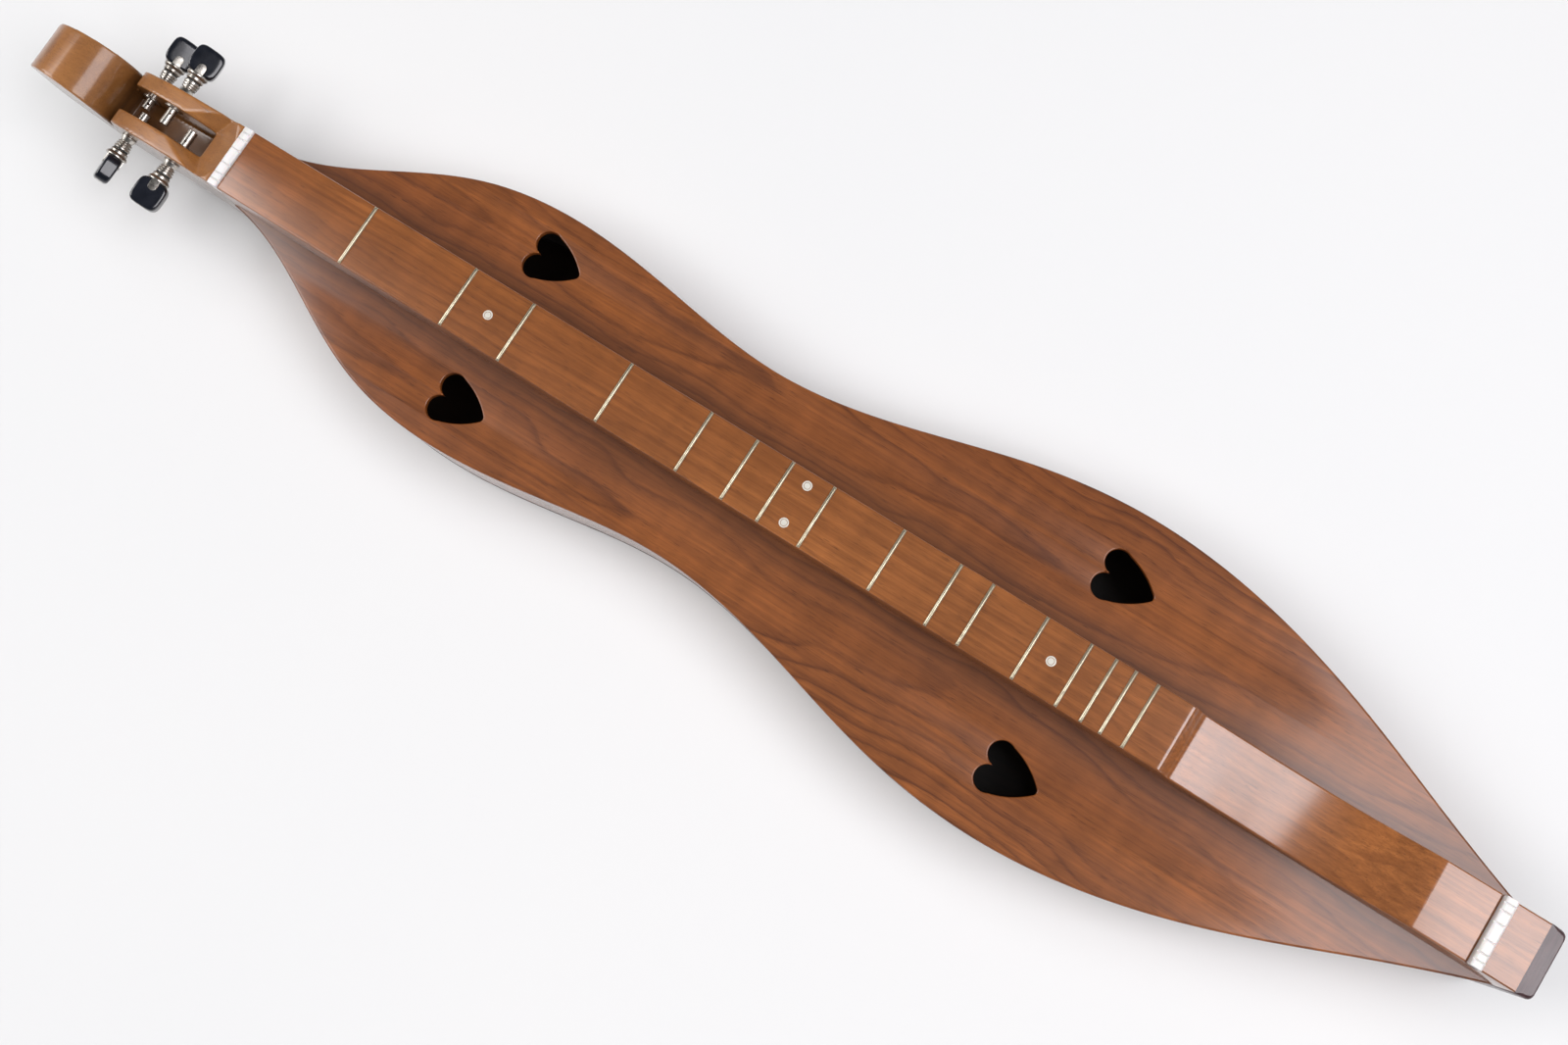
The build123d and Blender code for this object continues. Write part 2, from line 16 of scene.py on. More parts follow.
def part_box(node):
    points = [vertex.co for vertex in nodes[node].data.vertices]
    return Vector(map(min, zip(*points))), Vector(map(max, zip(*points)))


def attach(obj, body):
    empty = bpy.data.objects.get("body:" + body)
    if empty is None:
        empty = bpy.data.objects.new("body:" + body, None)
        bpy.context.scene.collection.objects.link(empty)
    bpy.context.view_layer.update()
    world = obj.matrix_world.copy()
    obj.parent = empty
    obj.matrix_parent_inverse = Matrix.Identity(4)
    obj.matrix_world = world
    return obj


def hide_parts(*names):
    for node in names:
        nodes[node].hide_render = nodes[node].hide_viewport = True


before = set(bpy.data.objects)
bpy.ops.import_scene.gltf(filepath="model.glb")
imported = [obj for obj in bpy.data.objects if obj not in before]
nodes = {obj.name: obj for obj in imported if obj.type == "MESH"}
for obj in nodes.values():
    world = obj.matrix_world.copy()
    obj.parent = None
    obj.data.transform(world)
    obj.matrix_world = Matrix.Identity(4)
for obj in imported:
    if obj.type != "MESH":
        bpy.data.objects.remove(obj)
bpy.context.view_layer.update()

MM = 0.001
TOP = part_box("fretboard")[1].z
BOARD_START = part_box("fretboard")[0].x
HALF_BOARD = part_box("fretboard")[1].y
SIDE_THICKNESS = 2.5 * MM

# ---------------------------------------------------------------- camera, floor and lights
CAMERA_PLACE = (0.14759, -0.08623, 0.77033)
CAMERA_TURN = (9.8547, 4.0899, 32.523)
CAMERA_LENS = 34.574
SENSOR_WIDTH = 36.0


def make_camera():
    data = bpy.data.cameras.new("camera")
    data.lens = CAMERA_LENS
    data.sensor_width = SENSOR_WIDTH
    data.clip_start = 0.01
    camera = bpy.data.objects.new("camera", data)
    camera.location = CAMERA_PLACE
    camera.rotation_euler = [radians(a) for a in CAMERA_TURN]
    bpy.context.scene.collection.objects.link(camera)
    bpy.context.scene.camera = camera


def soft_box(name, place, aim, width, height, power, colour, in_reflections=True):
    """A rectangular area light that faces a point."""
    data = bpy.data.lights.new(name, "AREA")
    data.shape = "RECTANGLE"
    data.size = width
    data.size_y = height
    data.energy = power
    data.color = colour
    light = bpy.data.objects.new(name, data)
    light.location = place
    light.rotation_euler = (Vector(aim) - Vector(place)).to_track_quat("-Z", "Y").to_euler()
    light.visible_glossy = in_reflections
    bpy.context.scene.collection.objects.link(light)


def make_lights():
    """Two soft boxes that show in the varnish, a wide overhead fill that doesn't, and pale walls."""
    soft_box("box_at_head", (-2.15, -0.6, 1.95), (-0.1, 0, 0), 1.6, 1.5, 42, (1.0, 0.985, 0.98))
    soft_box("box_at_tail", (1.55, 0.2, 2.0), (0.15, 0, 0), 1.6, 1.5, 38, (0.985, 0.965, 1.0))
    soft_box("overhead_fill", (0, 0, 3.4), (0, 0, 0), 5.0, 5.0, 112, (1.0, 1.0, 1.0), False)
    world = bpy.data.worlds.new("studio")
    world.use_nodes = True
    tree = world.node_tree
    place = tree.nodes.new("ShaderNodeTexCoord")
    split = tree.nodes.new("ShaderNodeSeparateXYZ")
    ramp = tree.nodes.new("ShaderNodeValToRGB")
    tree.links.new(place.outputs["Generated"], split.inputs[0])
    tree.links.new(split.outputs["Z"], ramp.inputs[0])
    tree.links.new(ramp.outputs[0], tree.nodes["Background"].inputs["Color"])
    stops = ramp.color_ramp.elements
    stops[0].position, stops[0].color = 0.0, (0.55, 0.55, 0.57, 1)
    stops[1].position, stops[1].color = 0.45, (0.05, 0.05, 0.052, 1)
    bpy.context.scene.world = world
    bpy.context.scene.view_settings.view_transform = "Standard"


# ---------------------------------------------------------------- material helpers
class Graph:
    """Short calls for building one material's nodes."""

    def __init__(self, name):
        self.material = bpy.data.materials.new(name)
        self.material.use_nodes = True
        self.tree = self.material.node_tree
        self.shader = self.tree.nodes["Principled BSDF"]

    def add(self, kind, inputs=None, **settings):
        node = self.tree.nodes.new("ShaderNode" + kind)
        for key, value in settings.items():
            setattr(node, key, value)
        for key, value in (inputs or {}).items():
            self.feed(node.inputs[key], value)
        return node

    def feed(self, socket, value):
        if isinstance(value, bpy.types.NodeSocket):
            self.tree.links.new(value, socket)
        else:
            socket.default_value = value

    def math(self, operation, a, b=0.0):
        return self.add("Math", {0: a, 1: b}, operation=operation).outputs[0]

    def mix(self, share, a, b, blend="MIX"):
        node = self.add("Mix", data_type="RGBA", blend_type=blend)
        self.feed(node.inputs[0], share)
        self.feed(node.inputs[6], a)
        self.feed(node.inputs[7], b)
        return node.outputs[2]

    def ramp(self, value, *stops):
        """A colour ramp; each stop is a position and a grey or a colour."""
        node = self.add("ValToRGB", {0: value})
        elements = node.color_ramp.elements
        while len(elements) < len(stops):
            elements.new(0.5)
        for element, (position, shade) in zip(elements, stops):
            element.position = position
            element.color = (*shade, 1) if isinstance(shade, tuple) else (shade, shade, shade, 1)
        return node.outputs[0]

    def place(self):
        return self.add("TexCoord").outputs["Object"]

    def noise(self, scale, stretch=(1, 1, 1), shift=(0, 0, 0), detail=3.0, rough=0.55):
        vector = self.add("Mapping", {0: self.place(), "Location": shift, "Scale": stretch}).outputs[0]
        inputs = {"Vector": vector, "Scale": scale, "Detail": detail, "Roughness": rough}
        return self.add("TexNoise", inputs).outputs["Fac"]

    def set(self, **values):
        for key, value in values.items():
            self.feed(self.shader.inputs[key.replace("_", " ")], value)

    def bump(self, height, strength, distance, below=None):
        inputs = {"Height": height, "Strength": strength, "Distance": distance}
        if below:
            inputs["Normal"] = below
        return self.add("Bump", inputs).outputs[0]


# ---------------------------------------------------------------- wood
SWAY = 0.045                     # metres by which slow noise carries the rings sideways
RIPPLE = 0.007
RING_SHAKE = 1.1                 # how unevenly the rings are spaced, in rings
SKIN_DEPTH = 0.6                 # how strongly height moves the rings
# Darkness across one ring: pale early wood, then a dark line of late wood.
LATE_WOOD = ((0.0, 0.3), (0.12, 0.02), (0.5, 0.12), (0.78, 0.5), (0.9, 1.0), (0.96, 0.85), (1.0, 0.3))
# painted shade: width and colour of the darker strip of soundboard beside the raised fretboard
BOARD_SHADE_WIDTH = 20.0 * MM
BOARD_SHADE_COLOUR = (0.085, 0.034, 0.018, 1)
# painted shade: near black for the shaded inside of the closed box
CAVITY_SHADE = (0.004, 0.0035, 0.003, 1)
HEAD_END = -0.45                 # station from which the fan of the figure is counted


def wood(name, light, mid, dark, pitch=5.0, heart=0.045, depth=-0.022, fan=0.03, seed=0.0, rings=0.9,
         roughness=0.36, coat=0.9, fibre=0.6, upright=False, shaded_inside=None, board_shade=0.0, low_shade=None,
         coat_ior=1.5):
    """Varnished walnut: growth rings cut on the flat, fibre streaks, open pores and slow colour drift.

    light, mid and dark are its colours and pitch the rings' spacing in millimetres.  heart is how far from
    the middle the figure is centred, and depth and fan shape its arches.  upright swaps y and z, for pieces
    whose broad faces stand.  shaded_inside is a height and whether the painted near-black shade of the
    closed box's inside is above it, board_shade paints shade on a strip beside the fretboard, and low_shade
    dims the lower parts by height as painted shade.
    """
    g = Graph(name)
    split = g.add("SeparateXYZ", {0: g.place()})
    x, y, z = split.outputs
    if upright:
        y, z = z, y
    beside = g.math("ABSOLUTE", y)
    sway = g.math("SUBTRACT", g.noise(5.0, (0.9, 2.2, 2.2), (seed, 2 * seed, 0), 2.0), 0.5)
    ripple = g.math("SUBTRACT", g.noise(30.0, (0.7, 1.5, 1.5), (seed, 0, seed), 3.0), 0.5)
    across = g.math("SUBTRACT", beside, heart)
    across = g.math("ADD", across, g.math("MULTIPLY", sway, SWAY))
    across = g.math("ADD", across, g.math("MULTIPLY", ripple, RIPPLE))
    slope = g.math("MULTIPLY", g.math("ADD", x, -HEAD_END), fan)
    deep = g.math("ADD", g.math("ADD", slope, depth), g.math("MULTIPLY", z, SKIN_DEPTH))
    radius = g.math("SQRT", g.math("ADD", g.math("MULTIPLY", across, across), g.math("MULTIPLY", deep, deep)))
    turn = g.math("MULTIPLY", radius, 1.0 / (pitch * MM))
    shake = g.math("SUBTRACT", g.noise(60.0, (0.25, 1, 1), (0, seed, 0), 1.0), 0.5)
    uneven = g.math("MULTIPLY", shake, RING_SHAKE)
    ring = g.math("FRACT", g.math("ADD", turn, uneven))
    band = g.ramp(ring, *LATE_WOOD)
    strength = g.ramp(g.noise(11.0, (0.4, 2.5, 2.5), (0, 0, seed), 2.0), (0.32, 0.25), (0.66, 1.0))
    band = g.math("MULTIPLY", g.math("MULTIPLY", band, strength), rings)
    streak = g.noise(1.0, (15, 560, 560), (seed, 0, 0), 4.0, 0.62)
    stripe = g.noise(1.0, (6, 190, 190), (2 * seed, 0, 0), 3.0, 0.6)
    fine = g.noise(1.0, (45, 2400, 2400), (0, seed, 0), 2.0, 0.5)
    pores = g.ramp(g.noise(1.0, (150, 2900, 2900), (seed, seed, 0), 1.0, 0.4), (0.60, 0.0), (0.70, 1.0))
    pores = g.math("MULTIPLY", pores, g.ramp(ring, (0.0, 1.0), (0.35, 0.35), (1.0, 0.8)))
    drift = g.noise(4.0, (0.8, 3.5, 3.5), (seed, seed, seed), 2.0)
    curl = g.noise(1.0, (75, 22, 22), (0, 2 * seed, 0), 1.0)

    tone = g.mix(g.ramp(drift, (0.35, 0.0), (0.65, 1.0)), (*light, 1), (*mid, 1))
    deeper = [0.45 * m + 0.55 * d for m, d in zip(mid, dark)]
    late = [0.15 * m + 0.85 * d for m, d in zip(mid, dark)]
    pore = [0.35 * d for d in dark]
    wide_share = g.math("MULTIPLY", g.ramp(stripe, (0.45, 0.0), (0.62, 1.0)), 0.6 * fibre)
    tone = g.mix(wide_share, tone, (*deeper, 1))
    narrow_share = g.math("MULTIPLY", g.ramp(streak, (0.38, 0.0), (0.66, 1.0)), fibre)
    tone = g.mix(narrow_share, tone, (*deeper, 1))
    tone = g.mix(band, tone, (*late, 1))
    fine_share = g.math("MULTIPLY", g.ramp(fine, (0.4, 0.0), (0.7, 1.0)), 0.2)
    tone = g.mix(fine_share, tone, (*dark, 1))
    tone = g.mix(g.math("MULTIPLY", pores, 0.6), tone, (*pore, 1))
    tone = g.mix(1.0, tone, g.ramp(curl, (0.3, 0.90), (0.7, 1.10)), "MULTIPLY")
    # painted shade beside the raised fretboard, strongest next to it and fading out over the strip's width
    if board_shade:
        reach = g.math("ADD", beside, g.math("MULTIPLY", ripple, 0.012))
        near = g.ramp(reach, (HALF_BOARD + 1.0 * MM, board_shade), (HALF_BOARD + BOARD_SHADE_WIDTH, 0.0))
        tone = g.mix(near, tone, BOARD_SHADE_COLOUR)
    # painted shade: the lower parts are darkened by height
    if low_shade:
        tone = g.mix(1.0, tone, g.ramp(split.outputs[2], *low_shade), "MULTIPLY")
    # painted shade: faces inside the closed box are coloured near black
    if shaded_inside is not None:
        height, above = shaded_inside
        inside = g.math("GREATER_THAN" if above else "LESS_THAN", split.outputs[2], height)
        tone = g.mix(g.math("MULTIPLY", inside, 0.97), tone, CAVITY_SHADE)
    smear = g.noise(26.0, (0.6, 1, 1), (seed, 0, 0), 4.0, 0.6)
    gloss = g.math("ADD", g.math("MULTIPLY", smear, 0.14), roughness - 0.07)
    gloss = g.math("ADD", gloss, g.math("MULTIPLY", pores, 0.12))
    relief = g.math("ADD", g.math("MULTIPLY", pores, -1.0), g.math("MULTIPLY", streak, 0.35))
    orange_peel = g.bump(g.noise(420.0, detail=2.0), 0.05, 0.0004)
    g.set(Base_Color=tone, Roughness=gloss, Normal=g.bump(relief, 0.2, 0.0001, orange_peel))
    g.set(Coat_Weight=coat, Coat_Roughness=0.16, Coat_IOR=coat_ior, Specular_IOR_Level=0.22)
    return g.material


def end_cap_wood():
    """Nearly black rosewood with violet-brown streaks and a slightly worn gloss."""
    g = Graph("rosewood")
    streak = g.noise(1.0, (900, 60, 420), (0.3, 0, 0), 4.0, 0.6)
    cloud = g.noise(90.0, (1, 1, 1), (2, 0, 0), 3.0)
    tone = g.mix(g.ramp(streak, (0.35, 0.0), (0.7, 1.0)), (0.034, 0.014, 0.016, 1), (0.085, 0.040, 0.042, 1))
    tone = g.mix(g.math("MULTIPLY", cloud, 0.35), tone, (0.016, 0.009, 0.010, 1))
    g.set(Base_Color=tone, Roughness=g.math("ADD", g.math("MULTIPLY", cloud, 0.2), 0.2))
    g.set(Coat_Weight=0.4, Coat_Roughness=0.15, Normal=g.bump(streak, 0.15, 0.00015))
    return g.material


BLOCK_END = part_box("head_block")[0].x + 0.3 * MM   # the head block is brown up to here


def cavity_shaded_wood():
    """Spruce of the inner pieces, painted nearly black as the shade inside the closed box, and brown on the
    head block's bare end.
    """
    g = Graph("inner_wood")
    outside = g.math("LESS_THAN", g.add("SeparateXYZ", {0: g.place()}).outputs[0], BLOCK_END)
    streak = g.noise(1.0, (14, 700, 700), (0.7, 0, 0), 4.0, 0.6)
    wide = g.noise(1.0, (8, 160, 160), (0, 3, 0), 2.0)
    # painted shade: the inner pieces are coloured near black for the shade inside the closed box
    tone = g.mix(g.ramp(streak, (0.35, 0.0), (0.7, 1.0)), (0.020, 0.016, 0.012, 1), (0.009, 0.007, 0.006, 1))
    tone = g.mix(g.math("MULTIPLY", wide, 0.4), tone, (0.013, 0.010, 0.008, 1))
    tone = g.mix(outside, tone, (0.20, 0.062, 0.017, 1))
    g.set(Base_Color=tone, Roughness=0.85, Normal=g.bump(streak, 0.3, 0.0002))
    return g.material


# ---------------------------------------------------------------- other materials
def bone():
    g = Graph("bone")
    streak = g.noise(1.0, (500, 60, 300), (0, 0, 1), 3.0, 0.5)
    cloud = g.noise(160.0, (1, 1, 1), (4, 0, 0), 3.0)
    tone = g.mix(g.ramp(streak, (0.4, 0.0), (0.75, 1.0)), (0.72, 0.70, 0.70, 1), (0.60, 0.57, 0.54, 1))
    tone = g.mix(g.math("MULTIPLY", cloud, 0.25), tone, (0.66, 0.63, 0.60, 1))
    g.set(Base_Color=tone, Roughness=g.math("ADD", g.math("MULTIPLY", cloud, 0.15), 0.22))
    g.set(Subsurface_Weight=0.15, Subsurface_Scale=0.0012, Normal=g.bump(cloud, 0.08, 0.0001))
    return g.material


def metal(name, clean, dull, roughness, wear_scale=500.0, stretch=(1, 1, 1)):
    """Polished metal with a duller film that has settled unevenly, and fine handling scratches."""
    g = Graph(name)
    film = g.ramp(g.noise(wear_scale, stretch, (1, 0, 0), 4.0, 0.6), (0.42, 0.0), (0.66, 1.0))
    scratch = g.noise(1.0, (4200, 500, 4200), (0, 0, 2), 2.0, 0.7)
    tone = g.mix(g.math("MULTIPLY", film, 0.6), (*clean, 1), (*dull, 1))
    gloss = g.math("ADD", g.math("MULTIPLY", film, 0.16), roughness)
    gloss = g.math("ADD", gloss, g.math("MULTIPLY", scratch, 0.06))
    g.set(Base_Color=tone, Metallic=1.0, Roughness=gloss, Normal=g.bump(scratch, 0.06, 0.00004))
    return g.material


def inlay():
    g = Graph("marker")
    cloud = g.noise(900.0, (1, 1, 1), (0, 2, 0), 3.0)
    tone = g.mix(g.ramp(cloud, (0.35, 0.0), (0.7, 1.0)), (0.62, 0.60, 0.54, 1), (0.50, 0.47, 0.41, 1))
    g.set(Base_Color=tone, Roughness=g.math("ADD", g.math("MULTIPLY", cloud, 0.2), 0.18))
    g.set(Coat_Weight=0.4, Coat_Roughness=0.1)
    return g.material


def fibre_washer():
    g = Graph("fibre")
    cloud = g.noise(1400.0, (1, 1, 1), (0, 0, 5), 4.0, 0.7)
    tone = g.mix(cloud, (0.014, 0.013, 0.012, 1), (0.05, 0.047, 0.042, 1))
    g.set(Base_Color=tone, Roughness=g.math("ADD", g.math("MULTIPLY", cloud, 0.25), 0.5))
    g.set(Normal=g.bump(cloud, 0.25, 0.0001))
    return g.material


def button_plastic():
    """Moulded black plastic, polished, with a faint grey bloom and thumb smears."""
    g = Graph("black_plastic")
    bloom = g.ramp(g.noise(150.0, (1, 1, 1), (3, 0, 1), 3.0), (0.4, 0.0), (0.75, 1.0))
    smear = g.noise(420.0, (1, 0.4, 1), (0, 0, 0), 4.0, 0.6)
    tone = g.mix(g.math("MULTIPLY", bloom, 0.5), (0.006, 0.0075, 0.012, 1), (0.017, 0.019, 0.027, 1))
    g.set(Base_Color=tone, Roughness=g.math("ADD", g.math("MULTIPLY", smear, 0.16), 0.10))
    g.set(Coat_Weight=0.5, Coat_Roughness=0.06, Normal=g.bump(g.noise(300.0), 0.04, 0.0002))
    return g.material


def make_materials():
    # heights past which the plates' inner faces get the painted near-black shade of the closed box
    back_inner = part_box("back_left")[1].z - 0.1 * MM
    top_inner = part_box("soundboard_left")[0].z + 0.1 * MM
    return {
        "walnut_top": wood("walnut_top", (0.310, 0.096, 0.019), (0.225, 0.066, 0.014), (0.060, 0.018, 0.008),
                           seed=1.7, shaded_inside=(top_inner, False), board_shade=0.55),
        "walnut_back": wood("walnut_back", (0.28, 0.095, 0.027), (0.21, 0.066, 0.020), (0.07, 0.022, 0.010),
                            heart=0.02, seed=5.1, shaded_inside=(back_inner, True)),
        "walnut_side": wood("walnut_side", (0.34, 0.125, 0.034), (0.25, 0.082, 0.022), (0.09, 0.028, 0.010),
                            pitch=4.5, heart=0.0, depth=0.01, fan=0.02, seed=3.3, upright=True, rings=0.55),
        # the head's lower parts get painted shade through low_shade
        "walnut_head": wood("walnut_head", (0.36, 0.155, 0.042), (0.27, 0.102, 0.027), (0.12, 0.036, 0.012),
                            pitch=3.6, heart=0.0, depth=0.02, fan=0.06, seed=8.2, rings=0.4, fibre=0.3,
                            low_shade=((0.046, 0.45), (0.068, 1.0))),
        "walnut_fretboard": wood("walnut_fretboard", (0.34, 0.115, 0.026), (0.26, 0.082, 0.017),
                                 (0.10, 0.029, 0.008), pitch=3.4, heart=0.05, depth=0.012, fan=0.01,
                                 seed=2.4, rings=0.5, fibre=0.7, roughness=0.3, coat_ior=1.8),
        "rosewood": end_cap_wood(),
        "inner_wood": cavity_shaded_wood(),
        "bone": bone(),
        "fret_wire": metal("fret_wire", (0.66, 0.60, 0.44), (0.52, 0.46, 0.32), 0.3),
        "marker": inlay(),
        "nickel": metal("nickel", (0.62, 0.59, 0.54), (0.40, 0.37, 0.32), 0.24),
        "fibre": fibre_washer(),
        "black_plastic": button_plastic(),
    }


# ---------------------------------------------------------------- mesh helpers
class Build:
    """Collects points and faces; rows of points are skinned with quads and flat openings are capped."""

    def __init__(self):
        self.points = []
        self.faces = []

    def row(self, points):
        start = len(self.points)
        self.points += [tuple(p) for p in points]
        return list(range(start, len(self.points)))

    def skin(self, rows, around=False, closed=False):
        pairs = list(zip(rows, rows[1:]))
        if closed:
            pairs.append((rows[-1], rows[0]))
        for a, b in pairs:
            count = len(a)
            for i in range(count if around else count - 1):
                j = (i + 1) % count
                self.faces.append((a[i], a[j], b[j], b[i]))

    def cap(self, *loops):
        """Fills a flat loop, leaving any further loops open as holes."""
        flat = [i for loop in loops for i in loop]
        lines = [[Vector(self.points[i]) for i in loop] for loop in loops]
        for a, b, c in tessellate_polygon(lines):
            self.faces.append((flat[a], flat[b], flat[c]))


def finish_piece(name, mesh, body, slot, *replaced, sharp=32):
    """Smooths a mesh, gives it its material and ties it to its body."""
    bm = bmesh.new()
    bm.from_mesh(mesh)
    bmesh.ops.remove_doubles(bm, verts=bm.verts, dist=1e-7)
    bmesh.ops.recalc_face_normals(bm, faces=bm.faces)
    bm.to_mesh(mesh)
    bm.free()
    mesh.shade_smooth()
    mesh.set_sharp_from_angle(angle=radians(sharp))
    mesh.materials.clear()
    mesh.materials.append(materials[slot])
    piece = bpy.data.objects.new(name, mesh)
    bpy.context.scene.collection.objects.link(piece)
    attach(piece, body)
    if replaced:
        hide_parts(*replaced)
    return piece


def piece_from(build, name, body, slot, *replaced, sharp=32):
    mesh = bpy.data.meshes.new(name)
    mesh.from_pydata(build.points, [], build.faces)
    return finish_piece(name, mesh, body, slot, *replaced, sharp=sharp)


def eased(points, radius, steps=4, closed=True):
    """A polygon with its corners rounded over by no more than radius."""
    result = []
    count = len(points)
    for i, p in enumerate(points):
        p = Vector(p)
        if not closed and i in (0, count - 1):
            result.append(p)
            continue
        before, after = Vector(points[i - 1]), Vector(points[(i + 1) % count])
        cut = min(radius, 0.45 * (before - p).length, 0.45 * (after - p).length)
        a = p + (before - p).normalized() * cut
        b = p + (after - p).normalized() * cut
        for k in range(steps + 1):
            t = k / steps
            result.append(a * (1 - t) ** 2 + p * 2 * t * (1 - t) + b * t * t)
    return result


def smooth_line(points, step):
    """Evenly spaced points on a natural cubic spline through the given ones, in x and y."""
    p = np.array(points, float)
    knots = np.r_[0, np.cumsum(np.linalg.norm(np.diff(p, axis=0), axis=1))]
    gaps, count = np.diff(knots), len(p)
    matrix, target = np.eye(count), np.zeros_like(p)
    for i in range(1, count - 1):
        matrix[i, i - 1:i + 2] = gaps[i - 1], 2 * (gaps[i - 1] + gaps[i]), gaps[i]
        target[i] = 6 * ((p[i + 1] - p[i]) / gaps[i] - (p[i] - p[i - 1]) / gaps[i - 1])
    bend = np.linalg.solve(matrix, target)
    at = np.linspace(0, knots[-1], int(knots[-1] / step) + 1)
    k = np.clip(np.searchsorted(knots, at, side="right") - 1, 0, count - 2)
    h, a, b = gaps[k], at - knots[k], knots[k + 1] - at
    a, b, h = a[:, None], b[:, None], h[:, None]
    line = (bend[k] * b ** 3 + bend[k + 1] * a ** 3) / (6 * h)
    return line + (p[k] / h - bend[k] * h / 6) * b + (p[k + 1] / h - bend[k + 1] * h / 6) * a


def outward(line, closed=False):
    """Unit normals to the left of a line of x and y points."""
    if closed:
        along = np.roll(line, -1, 0) - np.roll(line, 1, 0)
    else:
        along = np.gradient(line, axis=0)
    normal = np.c_[-along[:, 1], along[:, 0]]
    return normal / np.linalg.norm(normal, axis=1)[:, None]


# ---------------------------------------------------------------- plates and ribs
EDGE_GAP = 1.5 * MM              # points of the CAD edge closer than this are thinned out
EDGE_STEP = 3.0 * MM
EDGE_ROUND = 1.3 * MM


def rim_loops(node, level, upward):
    """Closed loops of x and y points round a CAD node's flat face at a height, the widest in x first."""
    bm = bmesh.new()
    bm.from_mesh(node.data)
    bmesh.ops.remove_doubles(bm, verts=bm.verts, dist=2e-6)
    flat = {f for f in bm.faces
            if f.normal.z * upward > 0.99 and abs(f.calc_center_median().z - level) < 2e-5}
    onward = {}
    for edge in bm.edges:
        if sum(f in flat for f in edge.link_faces) == 1:
            a, b = edge.verts
            onward.setdefault(a, []).append(b)
            onward.setdefault(b, []).append(a)
    loops = []
    while onward:
        start = next(iter(onward))
        loop, here, last = [], start, None
        while here in onward:
            loop.append((here.co.x, here.co.y))
            ahead = [v for v in onward.pop(here) if v is not last and v in onward]
            last = here
            if not ahead:
                break
            here = ahead[0]
        loops.append(loop)
    bm.free()
    return sorted(loops, key=lambda loop: max(loop)[0] - min(loop)[0], reverse=True)


def flank_of(node, side, upward):
    """The curved outer edge of a half plate as smooth points with y taken positive, and its normals."""
    low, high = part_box(node.name)
    outer = rim_loops(node, high.z if upward > 0 else low.z, upward)[0]
    nearly = HALF_BOARD - 1.0 * MM
    found = sorted((x, y * side) for x, y in outer if y * side > nearly)
    edge = found[:1]
    for point in found[1:-1]:
        if point[0] - edge[-1][0] > EDGE_GAP and found[-1][0] - point[0] > EDGE_GAP:
            edge.append(point)
    line = smooth_line(edge + found[-1:], EDGE_STEP)
    normals = outward(line)
    normals[0] = normals[-1] = (0, 1)
    return line, normals


def edge_profile(radius, depth, steps=6):
    """Inset and depth of each ring of a rounded-over edge, from the face down to the far side."""
    rings = []
    for k in range(steps + 1):
        angle = 0.5 * pi * k / steps
        rings.append((radius * (1 - sin(angle)), radius * (1 - cos(angle))))
    return rings + [(0.0, depth)]


LOBE = (-5.9, 6.6, 6.7)          # sound hole's round lobe: its centre and radius, in millimetres
LOBE_END = 58.0                  # degrees at which the lobe gives way to the flank
FLANK = (7.2, 8.35)
TIP = 17.6
TIP_ROUND = 2.4


def heart_ring(around):
    """A sound hole's outline, standing where a rough loop of the same hole stands."""
    x0 = min(x for x, _ in around) - (LOBE[0] - LOBE[2]) * MM
    y0 = 0.5 * (min(y for _, y in around) + max(y for _, y in around))
    cleft = degrees(asin(LOBE[1] / LOBE[2]))
    half = []
    for angle in np.linspace(180 + cleft, LOBE_END, 28):
        turn = radians(angle)
        half.append((LOBE[0] + LOBE[2] * cos(turn), LOBE[1] + LOBE[2] * sin(turn)))
    a, b, c = np.array([half[-1], FLANK, (TIP, 0.0)])
    middle = np.linalg.solve(2 * np.array([b - a, c - a]), [b @ b - a @ a, c @ c - a @ a])
    radius = np.linalg.norm(a - middle)
    reach = radius - TIP_ROUND
    tip_x = middle[0] + sqrt(reach ** 2 - middle[1] ** 2)
    first = atan2(*(a - middle)[::-1])
    last = atan2(-middle[1], tip_x - middle[0])
    for turn in np.linspace(first, last, 22)[1:]:
        half.append((middle[0] + radius * cos(turn), middle[1] + radius * sin(turn)))
    for turn in np.linspace(last, 0, 7)[1:]:
        half.append((tip_x + TIP_ROUND * cos(turn), TIP_ROUND * sin(turn)))
    ring = half + [(x, -y) for x, y in half[-2:0:-1]]
    return [(x0 + x * MM, y0 + y * MM) for x, y in ring]


